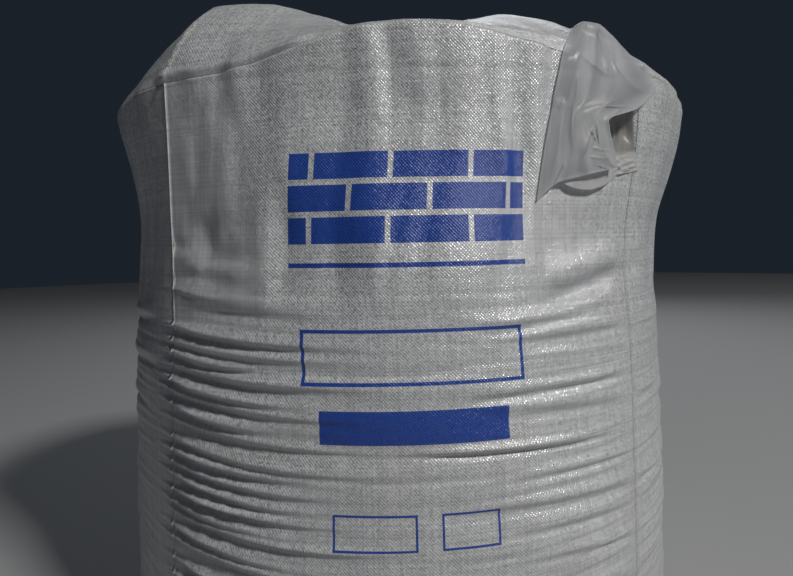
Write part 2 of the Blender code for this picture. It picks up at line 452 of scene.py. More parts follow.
@dataclass(frozen=True)
class Crescent:
    """A short stiff fold that starts in a point at a corner seam and fades along the panel."""

    height: float
    reach: float
    lift: float
    width: float
    drop: float = 0.0
    start: float = 0.0

    def lifted(self, run: Array, level: Array) -> Array:
        """Lift of the fold.

        Args:
            run: Distance along the panel from the corner seam.
            level: Height above the floor.

        Returns:
            How far each point moves outwards.
        """
        ahead = run - self.start
        share = np.clip(ahead / self.reach, 0.0, 1.0)
        grown = 0.25 + 0.75 * ease((ahead + 0.03) / 0.13)
        faded = fading(share, 0.2, 0.8)
        width = self.width * grown
        middle = self.height - self.drop * share * (2.0 - share)
        tip = bell(np.minimum(ahead, 0.0), 0.030)
        return self.lift * grown * faded * tip * roll(level - middle, width, 0.26 * width)


@dataclass(frozen=True)
class Groove:
    """A long crease with a rounded lip over it."""

    start: float
    end: float
    height: float
    rise: float
    depth: float
    width: float


@dataclass(frozen=True)
class Dent:
    """A single soft dent of the slack cloth."""

    place: float
    height: float
    wide: float
    tall: float
    tilt: float
    depth: float

    def sunk(self, girth: Array, height: Array) -> Array:
        """How far the dent takes each point inwards."""
        up = (height - self.height) / self.tall
        return self.depth * bell((girth - self.place) / self.wide + self.tilt * up, 1.0) * bell(up, 1.0)


@dataclass(frozen=True)
class Ripple:
    """A layer of smooth noise, its cells counted round the bag and per metre up the cloth."""

    seed: int
    around: int
    up: float
    lift: float
    follow: float = 0.0

    def noise(self, turn: Array, height: Array, shift: Array | float = 0.0) -> Array:
        """The bare noise, from -1 to 1."""
        return SmoothNoise(self.seed, self.around).at(turn * self.around, height * self.up + shift)

    def lifted(self, turn: Array, height: Array, shift: Array | float = 0.0) -> Array:
        """The noise at its full lift."""
        return self.lift * self.noise(turn, height, shift)


@dataclass
class Folds:
    """Every fold of the bag's walls, as a lift out of the smooth form."""

    form: BagForm
    seed: int = 11
    # heights of the folds that start at the front left seam
    front_left: tuple[float, ...] = (
        0.725, 0.700, 0.681, 0.657, 0.632, 0.614, 0.589, 0.560, 0.527, 0.501, 0.480, 0.459, 0.428,
        0.408, 0.388, 0.364, 0.341, 0.301, 0.272, 0.240, 0.212, 0.180, 0.150,
    )
    front_grooves: tuple[Groove, ...] = (
        Groove(0.02, 0.40, 0.757, -0.016, 0.0045, 0.010),
        Groove(-0.04, 0.26, 0.826, -0.034, 0.0035, 0.014),
        Groove(0.70, 1.05, 0.765, 0.055, 0.016, 0.020),
        Groove(0.58, 0.93, 0.715, 0.030, 0.005, 0.009),
        Groove(0.62, 1.10, 0.697, 0.012, 0.004, 0.009),
        Groove(0.56, 0.97, 0.609, 0.008, 0.006, 0.007),
        Groove(0.60, 1.18, 0.580, -0.022, 0.005, 0.010),
        Groove(0.45, 0.93, 0.524, -0.008, 0.007, 0.005),
        Groove(0.60, 1.30, 0.472, -0.008, 0.006, 0.006),
        Groove(0.52, 1.25, 0.424, -0.024, 0.006, 0.009),
        Groove(0.66, 1.20, 0.378, -0.014, 0.004, 0.008),
        Groove(0.62, 1.30, 0.330, -0.040, 0.006, 0.008),
        Groove(0.50, 1.22, 0.250, -0.020, 0.006, 0.010),
    )
    first_crescent: Crescent = Crescent(0.792, 0.24, 0.0035, 0.0130, 0.018, 0.0)
    crescent_window: Pair = (-0.08, 0.55)
    # lowest and highest reach, lift, width, drop and start of the front's folds
    front_spans: Table = ((0.32, 0.56), (0.0090, 0.0165), (0.0160, 0.0210), (0.018, 0.034), (-0.004, 0.026))
    # the same for the other folds, apart from their start, and the steps between them
    plain_spans: Table = ((0.20, 0.48), (0.004, 0.009), (0.010, 0.015), (-0.006, 0.014))
    plain_steps: Pair = (0.018, 0.038)
    plain_low: float = 0.10
    # start of the other creases, and their length, height, rise, depth and width
    drawn_grooves: int = 26
    groove_starts: Pair = (1.2, 3.5)
    groove_spans: Table = ((0.25, 0.75), (0.14, 0.74), (-0.03, 0.03), (0.003, 0.0065), (0.006, 0.011))
    # one for each corner seam, anticlockwise from the front left
    skirt_fins: tuple[float, ...] = (0.0055, 0.0010, 0.0020, 0.0020)
    corner_ridges: tuple[float, ...] = (0.006, 0.003, 0.005, 0.005)
    ridge_width: float = 0.075
    # where each fades out, and over what height
    ridge_end: Pair = (0.58, 0.36)
    crescent_end: Pair = (0.80, 0.06)
    full_end: Pair = (-0.05, 0.10)
    foot_reach: float = 0.10
    held_share: float = 0.15
    groove_hold: float = 0.07
    hoop_hold: float = 0.16
    drape_hold: float = 0.08
    dents: tuple[Dent, ...] = (
        Dent(0.090, 0.880, 0.030, 0.042, 0.35, 0.009),
        Dent(0.150, 0.842, 0.050, 0.022, -0.30, 0.007),
        Dent(0.048, 0.950, 0.020, 0.060, 0.10, 0.003),
        Dent(0.265, 0.905, 0.022, 0.060, 0.30, 0.006),
        Dent(0.024, 0.868, 0.036, 0.016, 0.20, 0.004),
        Dent(0.040, 0.808, 0.055, 0.011, -0.25, 0.0032),
    )
    hoop_warps: tuple[Ripple, ...] = (Ripple(21, 16, 5.0, 0.010), Ripple(22, 60, 16.0, 0.003))
    hoop_rolls: Ripple = Ripple(23, 9, 30.0, 0.0042)
    hoop_lines: Ripple = Ripple(24, 17, 62.0, 0.0016)
    drape_leans: tuple[Ripple, ...] = (Ripple(31, 20, 3.0, 0.030), Ripple(35, 50, 9.0, 0.010))
    drapes: tuple[Ripple, ...] = (
        Ripple(32, 34, 2.2, 0.0066, 1.0),
        Ripple(33, 96, 6.0, 0.0040, 1.0),
        Ripple(36, 150, 11.0, 0.0014, 1.5),
        Ripple(34, 14, 6.0, 0.0070),
    )
    skirt_warp: Ripple = Ripple(44, 16, 6.0, 0.04)
    skirt_broad: Ripple = Ripple(41, 26, 7.0, 0.0070)
    skirt_creases: Ripple = Ripple(45, 44, 16.0, 0.0035)
    skirt_fine: Ripple = Ripple(42, 120, 30.0, 0.0012)
    skirt_gathers: Ripple = Ripple(46, 60, 3.0, 0.010)
    skirt_lip: float = 0.008
    skirt_dimple: float = 0.014
    pocket_start: float = 0.850
    pocket_low: float = 1.020
    pocket_high: float = 1.120
    pocket_depth: float = 0.034
    crescents: dict[tuple[int, int], list[Crescent]] = field(default_factory=dict)
    grooves: list[Groove] = field(default_factory=list)

    def __post_init__(self) -> None:
        """Draw the folds that the photographed side doesn't settle."""
        random = np.random.default_rng(self.seed)
        for corner in range(4):
            for way in (-1, 1):
                self.crescents[corner, way] = self.drawn_crescents(random, 0.7)
        front = [Crescent(height, *draw(random, self.front_spans)) for height in self.front_left]
        self.crescents[0, 1] = front + [self.first_crescent]
        self.crescents[0, -1] = self.drawn_crescents(random, 0.3, 0.03)
        self.crescents[1, -1] = self.drawn_crescents(random, 0.35)
        self.crescents[1, 1] = self.drawn_crescents(random, 0.45)
        self.grooves = list(self.front_grooves)
        for _ in range(self.drawn_grooves):
            start = random.uniform(*self.groove_starts)
            length, *others = draw(random, self.groove_spans)
            self.grooves.append(Groove(start, start + length, *others))

    def drawn_crescents(
        self, random: np.random.Generator, strength: float, start: float = 0.0
    ) -> list[Crescent]:
        """Draw crescents from the foot to the fill line, at uneven spacing.

        Args:
            random: Where the draws come from.
            strength: Share of the full lift.
            start: How far from the corner seam they start.

        Returns:
            The crescents of one corner, on one side of it.
        """
        drawn = []
        height = self.plain_low
        while height < self.form.fill_height - 0.02:
            reach, lift, width, drop = draw(random, self.plain_spans)
            drawn.append(Crescent(height, reach, strength * lift, width, drop, start))
            height += random.uniform(*self.plain_steps)
        return drawn

    def crescent_lift(self, girth: Array, height: Array) -> Array:
        """Lift of the folds that start at the corner seams.

        Args:
            girth: Distance round the bag from the front left seam.
            height: Height above the floor.

        Returns:
            How far each point moves outwards.
        """
        total = np.zeros_like(height)
        low, high = self.crescent_window
        for (corner, way), folds in self.crescents.items():
            run = self.form.corner_gap(girth, corner) * way
            near = (run > low) & (run < high)
            total[near] += sum(fold.lifted(run[near], height[near]) for fold in folds)
        return total

    def groove_lift(self, girth: Array, height: Array) -> Array:
        """Lift of the long creases: a valley, with a rounded lip over it.

        Args:
            girth: Distance round the bag from the front left seam.
            height: Height above the floor.

        Returns:
            How far each point moves outwards.
        """
        total = np.zeros_like(height)
        for crease in self.grooves:
            share = (girth - crease.start) / (crease.end - crease.start)
            inside = (share > 0.0) & (share < 1.0)
            share = share[inside]
            strength = crease.depth * ease(share / 0.3) * fading(share, 0.65, 0.35)
            off = height[inside] - (crease.height + crease.rise * ease(share))
            lip = 0.75 * bell(off - 1.9 * crease.width, 1.5 * crease.width)
            total[inside] += strength * (lip - bell(off, crease.width))
        return total

    def hoop_lift(self, girth: Array, height: Array) -> Array:
        """Fine uneven rolls round the full part of the bag.

        Args:
            girth: Distance round the bag from the front left seam.
            height: Height above the floor.

        Returns:
            How far each point moves outwards.
        """
        turn = girth / self.form.around
        level = height + sum(warp.lifted(turn, height) for warp in self.hoop_warps)
        rolls = np.abs(self.hoop_rolls.noise(turn, level)) ** 0.8
        lines = np.abs(self.hoop_lines.noise(turn, level))
        return self.hoop_rolls.lift * (rolls - 0.4) + self.hoop_lines.lift * (lines - 0.4)

    def drape_lift(self, girth: Array, height: Array) -> Array:
        """Soft upright folds and dents of the slack cloth over the fill.

        Args:
            girth: Distance round the bag from the front left seam.
            height: Height above the floor.

        Returns:
            How far each point moves outwards.
        """
        around = self.form.around
        lean = sum(layer.lifted(girth / around, height) for layer in self.drape_leans)
        return sum(layer.lifted((girth + layer.follow * lean) / around, height) for layer in self.drapes)

    def ridge_lift(self, girth: Array) -> Array:
        """How far the full bag stands out along its corner seams."""
        gaps = (self.form.corner_gap(girth, corner) for corner in range(4))
        return sum(lift * bell(gap, self.ridge_width) for lift, gap in zip(self.corner_ridges, gaps))

    def pocket_lift(self, girth: Array, height: Array) -> Array:
        """The hollow beside the front right seam, where the film comes out.

        Args:
            girth: Distance round the bag from the front left seam.
            height: Height above the floor.

        Returns:
            How far each point moves outwards, which is below zero here.
        """
        edge = self.form.panel_width - 0.004
        inside = rising(girth, self.pocket_start, 0.030) * ease((edge - girth) / 0.016)
        tall = rising(height, self.pocket_low, 0.022) * fading(height, self.pocket_high, 0.04)
        return -self.pocket_depth * inside * tall

    def skirt_lift(self, girth: Array, run: Array) -> Array:
        """Wrinkles of the skirt, its lip over the front left seam and its gathers in the middle.

        Args:
            girth: Distance round the bag from the front left seam.
            run: Distance up the cloth from the seam.

        Returns:
            How far each point moves out of the smooth form, in metres.
        """
        around = self.form.around
        warp = self.skirt_warp.lifted(girth / around, run)
        place = (girth + warp) / around
        creases = 1.0 - 2.0 * np.abs(self.skirt_creases.noise(place, run, 5.0 * warp))
        wrinkles = self.skirt_broad.lifted(place, run, 3.0) + self.skirt_creases.lift * creases
        lift = ease(run / 0.05) * (wrinkles + self.skirt_fine.lifted(place, run, 40.0 * warp))
        lift += self.skirt_gathers.lifted(place, run) * rising(run, 0.22, 0.2)
        gap = self.form.corner_gap(girth, 0)
        lip = fading(gap, 0.22, 0.10) * (1.0 - ease(-gap / 0.05))
        lift += self.skirt_lip * lip * bell(run - 0.016, 0.011) * ease(run / 0.006)
        for corner, height in enumerate(self.skirt_fins):
            fin = np.exp(-np.abs(self.form.corner_gap(girth, corner)) / 0.0035)
            lift += height * fin * ease(run / 0.01) * fading(run, 0.12, 0.08)
        dimple = bell(girth - 0.285 - 0.8 * (run - 0.03), 0.026)
        return lift + self.skirt_dimple * dimple * bell(run - 0.032, 0.022) * ease(run / 0.012)

    def lift(self, girth: Array, height: Array) -> Array:
        """The whole lift of the cloth out of its smooth form.

        Args:
            girth: Distance round the bag from the front left seam.
            height: Height above the floor.

        Returns:
            How far each point moves outwards, in metres.
        """
        width = self.form.panel_width
        seam_gap = np.abs((girth / width + 0.5) % 1.0 - 0.5) * width
        full = fading(height - self.form.fill_height, *self.full_end)
        foot = ease(height / self.foot_reach)
        lift = self.crescent_lift(girth, height) * fading(height, *self.crescent_end) * foot
        lift += self.groove_lift(girth, height) * foot * self.held(seam_gap, self.groove_hold)
        lift += self.hoop_lift(girth, height) * full * foot * self.held(seam_gap, self.hoop_hold)
        lift += self.drape_lift(girth, height) * (1.0 - full) * ease(seam_gap / self.drape_hold)
        lift += self.pocket_lift(girth, height) - sum(dent.sunk(girth, height) for dent in self.dents)
        return lift + self.ridge_lift(girth) * fading(height, *self.ridge_end) * foot

    def held(self, seam_gap: Array, reach: float) -> Array:
        """The share of a lift that is left where a seam holds the cloth."""
        return self.held_share + (1.0 - self.held_share) * ease(seam_gap / reach)


def math_node(operation: str, turned: bool = False) -> Callable[..., "Wire"]:
    """Make a method of Wire that adds one Math node.

    Args:
        operation: What the node works out.
        turned: Whether the wire is the second value, as in 1 - mask.

    Returns:
        The method.
    """

    def method(wire: "Wire", *others: object) -> "Wire":
        """Add the node beside the wire's own."""
        values = [*others, wire] if turned else [wire, *others]
        return wire.bench.make("ShaderNodeMath", {"operation": operation}, values)

    return method


class Wire:
    """A socket that takes part in shader sums."""

    __add__, __radd__ = math_node("ADD"), math_node("ADD", True)
    __sub__, __rsub__ = math_node("SUBTRACT"), math_node("SUBTRACT", True)
    __mul__, __truediv__ = math_node("MULTIPLY"), math_node("DIVIDE")
    __abs__ = math_node("ABSOLUTE")
    sine, floor = math_node("SINE"), math_node("FLOOR")
    least, most = math_node("MINIMUM"), math_node("MAXIMUM")

    def __init__(self, bench: "NodeBench", socket: bpy.types.NodeSocket) -> None:
        """Keep the socket and the node tree it belongs to."""
        self.bench = bench
        self.socket = socket

    def between(self, low: float, high: float) -> "Wire":
        """A smooth step: 0 at low and 1 at high, clamped."""
        inputs = {"Value": self, "From Min": low, "From Max": high}
        return self.bench.make("ShaderNodeMapRange", {"interpolation_type": "SMOOTHSTEP"}, inputs)


class NodeBench:
    """Builds one material's node tree."""

    def __init__(self, name: str) -> None:
        """Start a material with an empty tree.

        Args:
            name: The material's name.
        """
        self.material = bpy.data.materials.new(name)
        self.material.use_nodes = True
        self.tree = self.material.node_tree
        self.tree.nodes.clear()

    def add(self, kind: str, settings: dict, inputs: dict | Sequence = ()) -> bpy.types.Node:
        """Add a node.

        Args:
            kind: The node's type.
            settings: Properties, which are set first.
            inputs: Values or wires, by socket name or in socket order. None leaves a socket alone.

        Returns:
            The node.
        """
        node = self.tree.nodes.new(kind)
        for key, value in settings.items():
            setattr(node, key, value)
        for key, value in inputs.items() if isinstance(inputs, dict) else enumerate(inputs):
            if isinstance(value, Wire):
                self.tree.links.new(value.socket, node.inputs[key])
            elif value is not None:
                node.inputs[key].default_value = value
        return node

    def make(self, kind: str, settings: dict, inputs: dict | Sequence = (), output: int | str = 0) -> Wire:
        """Add a node and hand back the wire from one of its outputs."""
        return Wire(self, self.add(kind, settings, inputs).outputs[output])

    def mix(self, share: object, first: object, second: object) -> Wire:
        """Mix two colours."""
        return self.make("ShaderNodeMix", {"data_type": "RGBA"}, {0: share, 6: first, 7: second}, 2)

    def object_place(self) -> Wire:
        """The place on the piece, in metres."""
        return self.make("ShaderNodeTexCoord", {}, output="Object")

    def cloth_place(self) -> tuple[Wire, Wire]:
        """The places across and up the flat cloth, in metres."""
        place = self.make("ShaderNodeUVMap", {"uv_map": CLOTH_MAP})
        return tuple(Wire(self, part) for part in self.add("ShaderNodeSeparateXYZ", {}, [place]).outputs)[:2]

    def join(self, across: object, up: object) -> Wire:
        """A level vector from two values."""
        return self.make("ShaderNodeCombineXYZ", {}, [across, up, 0.0])

    def random(self, ids: Wire, output: str = "Value") -> Wire:
        """A random value or colour for each whole-numbered place."""
        return self.make("ShaderNodeTexWhiteNoise", {"noise_dimensions": "2D"}, {"Vector": ids}, output)

    def noise(self, place: Wire, scale: float, detail: float, roughness: float) -> Wire:
        """A noise value from 0 to 1."""
        inputs = {"Vector": place, "Scale": scale, "Detail": detail, "Roughness": roughness}
        return self.make("ShaderNodeTexNoise", {}, inputs, "Fac")

    def vector(self, operation: str, inputs: dict | Sequence) -> Wire:
        """A sum on vectors."""
        return self.make("ShaderNodeVectorMath", {"operation": operation}, inputs)

    def bump(self, height: Wire, strength: float, distance: float, normal: Wire | None = None) -> Wire:
        """A bump from a height."""
        inputs = {"Strength": strength, "Distance": distance, "Height": height, "Normal": normal}
        return self.make("ShaderNodeBump", {}, inputs, "Normal")

    def principled(self, **sockets: object) -> Wire:
        """The main shader, its sockets named with underscores for spaces."""
        inputs = {name.replace("_", " "): value for name, value in sockets.items()}
        return self.make("ShaderNodeBsdfPrincipled", {}, inputs)

    def finish(self, surface: Wire) -> bpy.types.Material:
        """Put a shader on the surface and hand back the material."""
        self.add("ShaderNodeOutputMaterial", {}, {"Surface": surface})
        return self.material


@dataclass(frozen=True)
class Block:
    """A printed rectangle, in metres across from the front's middle and up the cloth."""

    left: float
    right: float
    low: float
    high: float
    line: float = 0.0
    blur: float = 0.0006

    def span(self, place: Wire, low: float, high: float) -> Wire:
        """1 between two places and 0 elsewhere."""
        past = place.between(high - self.blur, high + self.blur)
        return place.between(low - self.blur, low + self.blur) * (1.0 - past)

    def filled(self, across: Wire, up: Wire, inset: float = 0.0) -> Wire:
        """The whole rectangle, or what lies some way inside its edges."""
        sides = self.span(across, self.left + inset, self.right - inset)
        return sides * self.span(up, self.low + inset, self.high - inset)

    def mask(self, across: Wire, up: Wire) -> Wire:
        """The rectangle, or its outline where it has a line width."""
        whole = self.filled(across, up)
        return whole * (1.0 - self.filled(across, up, self.line)) if self.line else whole


@dataclass(frozen=True)
class WovenCloth:
    """White laminated cloth woven from flat tapes, with dust and wear."""

    name: str = "woven_cloth"
    color: Color = (0.74, 0.755, 0.77, 1.0)
    tape_shade: Color = (0.53, 0.55, 0.575, 1.0)
    dust_and_shade: Color = (0.50, 0.47, 0.42, 1.0)
    thread_shade: Color = (0.34, 0.35, 0.37, 1.0)
    ink: Color = (0.001, 0.056, 0.385, 1.0)
    tape: float = 0.0029
    tape_tilt: float = 0.22
    tape_height: float = 0.0006
    wrinkle_height: float = 0.004
    bump_share: float = 0.50
    gloss_share: float = 0.43
    shade_share: float = 0.8
    dust_share: float = 0.32
    thread_share: float = 0.55
    stitch: float = 0.0078
    stitch_gap: float = 0.0068
    half_width: float = 0.475
    printed: bool = False
    wall: Block = Block(-0.20, 0.22, 0.862, 1.022)
    brick_length: float = 0.14
    brick_height: float = 0.0533
    blocks: tuple[Block, ...] = (
        Block(-0.20, 0.22, 0.828, 0.836),
        Block(-0.15, 0.17, 0.545, 0.600),
        Block(-0.18, 0.20, 0.640, 0.730, 0.006),
        Block(-0.13, 0.01, 0.372, 0.432, 0.004),
        Block(0.05, 0.15, 0.372, 0.432, 0.004),
    )

    def material(self) -> bpy.types.Material:
        """Build the cloth's node tree.

        Returns:
            The material.
        """
        bench = NodeBench(self.name)
        place = bench.object_place()
        across, up = bench.cloth_place()
        column, row = across / self.tape, up / self.tape
        weave = (column * math.pi).sine() * (row * math.pi).sine()
        column, row = column.floor(), row.floor()
        ids = bench.join(column, row)
        cell = bench.random(ids)
        glint = bench.random(bench.join(row + 41.0, column))
        upright = bench.random(bench.join(column, 3.0))
        level = bench.random(bench.join(row, 917.0))
        tone = (upright * 0.43 + level * 0.43 + cell * 0.14).between(0.12, 0.88)
        patches = bench.noise(place, 3.1, 5.0, 0.6)
        grime = (patches * bench.noise(place, 11.0, 6.0, 0.65)).between(0.22, 0.52)
        color = bench.mix(tone * self.shade_share, self.color, self.tape_shade)
        color = bench.mix(grime * self.dust_share, color, self.dust_and_shade)
        color = bench.mix(self.stitch_mask(across, up) * self.thread_share, color, self.thread_shade)
        gloss = glint.between(0.40, 1.0) * self.gloss_share
        if self.printed:
            printed = self.print_mask(across, up)
            color = bench.mix(printed * (0.94 + cell * 0.06), color, self.ink)
            gloss = gloss * (1.0 - printed)
        wrinkles = bench.bump(bench.noise(place, 34.0, 5.0, 0.6), self.bump_share, self.wrinkle_height)
        normal = bench.bump(weave, self.bump_share, self.tape_height, wrinkles)
        middle = bench.vector("SUBTRACT", [bench.random(ids, "Color"), (0.5, 0.5, 0.5)])
        tilt = bench.vector("SCALE", {0: middle, 3: self.tape_tilt})
        surface = bench.principled(
            Base_Color=color,
            Roughness=0.27 + cell * 0.14 + patches * 0.06,
            Metallic=gloss,
            Normal=bench.vector("NORMALIZE", [bench.vector("ADD", [normal, tilt])]),
            Specular_IOR_Level=0.7,
        )
        return bench.finish(surface)

    def stitch_mask(self, across: Wire, up: Wire) -> Wire:
        """The stitches beside a panel's two corner seams.

        Args:
            across: Place across the flat cloth.
            up: Place up the flat cloth.

        Returns:
            1 on the thread and 0 elsewhere.
        """
        gap = self.half_width - abs(across)
        near = gap.between(self.stitch_gap - 0.0006, self.stitch_gap)
        far = gap.between(self.stitch_gap + 0.0008, self.stitch_gap + 0.0014)
        step = up / self.stitch
        return near * (1.0 - far) * (step - step.floor()).between(0.30, 0.42)

    def print_mask(self, across: Wire, up: Wire) -> Wire:
        """The printed areas of the front: brickwork, a line, a bar and three plain frames.

        Args:
            across: Place across the flat cloth.
            up: Place up the flat cloth.

        Returns:
            1 on the ink and 0 elsewhere.
        """
        rise = (up - self.wall.low) / self.brick_height
        course = rise.floor()
        shift = (course * 0.5 - (course * 0.5).floor()) * self.brick_length
        brick = (across + 1.0 + shift) / self.brick_length
        upright = abs(brick - brick.floor() - 0.5).between(0.462, 0.470)
        mortar = upright.most(abs(rise - course - 0.5).between(0.40, 0.42))
        mask = self.wall.mask(across, up) * (1.0 - mortar)
        for block in self.blocks:
            mask = mask.most(block.mask(across, up))
        return mask


@dataclass(frozen=True)
class LinerFilm:
    """Thin cloudy film with a soft gloss."""

    name: str = "liner_film"
    color: Color = (0.59, 0.60, 0.62, 1.0)
    cloud: Color = (0.83, 0.84, 0.85, 1.0)
    alpha: float = 0.74
    glow: Color = (0.81, 0.825, 0.85, 1.0)
    glow_share: float = 0.42
    crumple_height: float = 0.003
    # the inner layer's pocket is darkened: painted shade, with cement dust in streaks, and its colour
    shaded_dusty_pocket: bool = False
    dust_and_shade: Color = (0.32, 0.31, 0.285, 1.0)

    def material(self) -> bpy.types.Material:
        """Build the film's node tree, with milky bands down its fall.

        Returns:
            The material.
        """
        bench = NodeBench(self.name)
        across, up = bench.cloth_place()
        crumple = bench.noise(bench.object_place(), 60.0, 5.0, 0.6)
        milky = bench.noise(bench.join(across * 26.0, up * 6.0), 1.0, 2.0, 0.5).between(0.28, 0.72)
        color = bench.mix(milky, self.color, self.cloud)
        # painted shade, with cement dust, darkens the pocket of the inner layer
        if self.shaded_dusty_pocket:
            color = bench.mix(self.pocket_shade_and_dust_mask(bench, across, up), color, self.dust_and_shade)
        surface = bench.principled(
            Base_Color=color,
            Roughness=0.30 + milky * 0.14,
            Normal=bench.bump(crumple, 0.10, self.crumple_height),
            Alpha=self.alpha,
        )
        through = bench.make("ShaderNodeBsdfTranslucent", {}, {"Color": self.glow})
        return bench.finish(bench.make("ShaderNodeMixShader", {}, [self.glow_share, surface, through]))

    def pocket_shade_and_dust_mask(self, bench: NodeBench, across: Wire, up: Wire) -> Wire:
        """Painted shade with streaks of cement dust, in the pocket of the inner layer above its hem and
        beside the mouth.

        Args:
            bench: The material's node tree.
            across: Place across the flat film.
            up: Place up the flat film.

        Returns:
            1 in the painted shade and dust, and 0 elsewhere.
        """
        streaks = bench.noise(bench.join(across * 160.0, up * 14.0), 1.0, 3.0, 0.6)
        # the upper right of the inner layer, the pocket where the painted shade goes
        shaded_pocket = up.between(0.040, 0.052) * across.between(0.085, 0.12)
        return shaded_pocket * (0.55 + streaks * 0.55).least(1.0)


@dataclass(frozen=True)
class CementPowder:
    """Fine grey cement."""

    name: str = "cement"
    color: Color = (0.30, 0.29, 0.27, 1.0)
    pale: Color = (0.38, 0.37, 0.35, 1.0)
    roughness: float = 0.92
    lump_height: float = 0.006
    grain_height: float = 0.0006

    def material(self) -> bpy.types.Material:
        """Build the powder's node tree.

        Returns:
            The material.
        """
        bench = NodeBench(self.name)
        place = bench.object_place()
        lumps = bench.noise(place, 24.0, 6.0, 0.6)
        grain = bench.noise(place, 900.0, 2.0, 0.5)
        normal = bench.bump(grain, 0.4, self.grain_height, bench.bump(lumps, 0.5, self.lump_height))
        color = bench.mix(lumps, self.color, self.pale)
        return bench.finish(bench.principled(Base_Color=color, Roughness=self.roughness, Normal=normal))


@dataclass(frozen=True)
class FloorPaint:
    """Plain pale paint."""

    name: str = "pale_floor"
    color: Color = (0.42, 0.425, 0.43, 1.0)
    roughness: float = 0.9

    def material(self) -> bpy.types.Material:
        """Build the paint's node tree."""
        bench = NodeBench(self.name)
        return bench.finish(bench.principled(Base_Color=self.color, Roughness=self.roughness))


def mesh_of(name: str, shape: bmesh.types.BMesh) -> bpy.types.Mesh:
    """Turn a bmesh into a mesh.

    Args:
        name: The mesh's name.
        shape: The bmesh, which is freed.

    Returns:
        The mesh.
    """
    mesh = bpy.data.meshes.new(name)
    shape.to_mesh(mesh)
    shape.free()
    return mesh


def placed(name: str, data: bpy.types.ID) -> bpy.types.Object:
    """Put a mesh, a light or a camera into the scene, at the origin.

    Args:
        name: The object's name.
        data: What the object holds.

    Returns:
        The object.
    """
    item = bpy.data.objects.new(name, data)
    bpy.context.scene.collection.objects.link(item)
    return item


def grid_piece(
    name: str,
    cells: tuple[int, int],
    place: Callable[[Array, Array], Cloth],
    thickness: float,
    closed: bool = False,
) -> bpy.types.Object:
    """Make a sheet of cloth from a flat grid.

    Args:
        name: The piece's name.
        cells: Faces across and up.
        place: Turns grid places, each from -1 to 1, into points and flat cloth places.
        thickness: The cloth's thickness, inwards from the points.
        closed: Whether the grid meets itself, in a ring or a point, and is sewn up there.

    Returns:
        The object, at the origin, with a UV map in metres of flat cloth.
    """
    flat = bmesh.new()
    bmesh.ops.create_grid(flat, x_segments=cells[0], y_segments=cells[1], size=1.0)
    mesh = mesh_of(name, flat)
    spots = np.empty(len(mesh.vertices) * 3)
    mesh.vertices.foreach_get("co", spots)
    points, cloth = place(spots[0::3], spots[1::3])
    mesh.vertices.foreach_set("co", points.astype(np.float32).ravel())
    corners = np.empty(len(mesh.loops), dtype=np.int32)
    mesh.loops.foreach_get("vertex_index", corners)
    layer = mesh.uv_layers.new(name=CLOTH_MAP)
    layer.data.foreach_set("uv", cloth[corners].astype(np.float32).ravel())
    if closed:
        ring = bmesh.new()
        ring.from_mesh(mesh)
        bmesh.ops.remove_doubles(ring, verts=ring.verts, dist=1e-5)
        ring.to_mesh(mesh)
        ring.free()
    mesh.shade_smooth()
    mesh.update()
    piece = placed(name, mesh)
    wall = piece.modifiers.new("thickness", "SOLIDIFY")
    wall.thickness = thickness
    wall.offset = -1.0
    return piece


def report(piece: bpy.types.Object) -> None:
    """Log a piece's faces, and the area of one face of it before it has its thickness."""
    faces = piece.data.polygons
    LOG.info("%s: %d faces, %.4f m2", piece.name, len(faces), sum(face.area for face in faces))


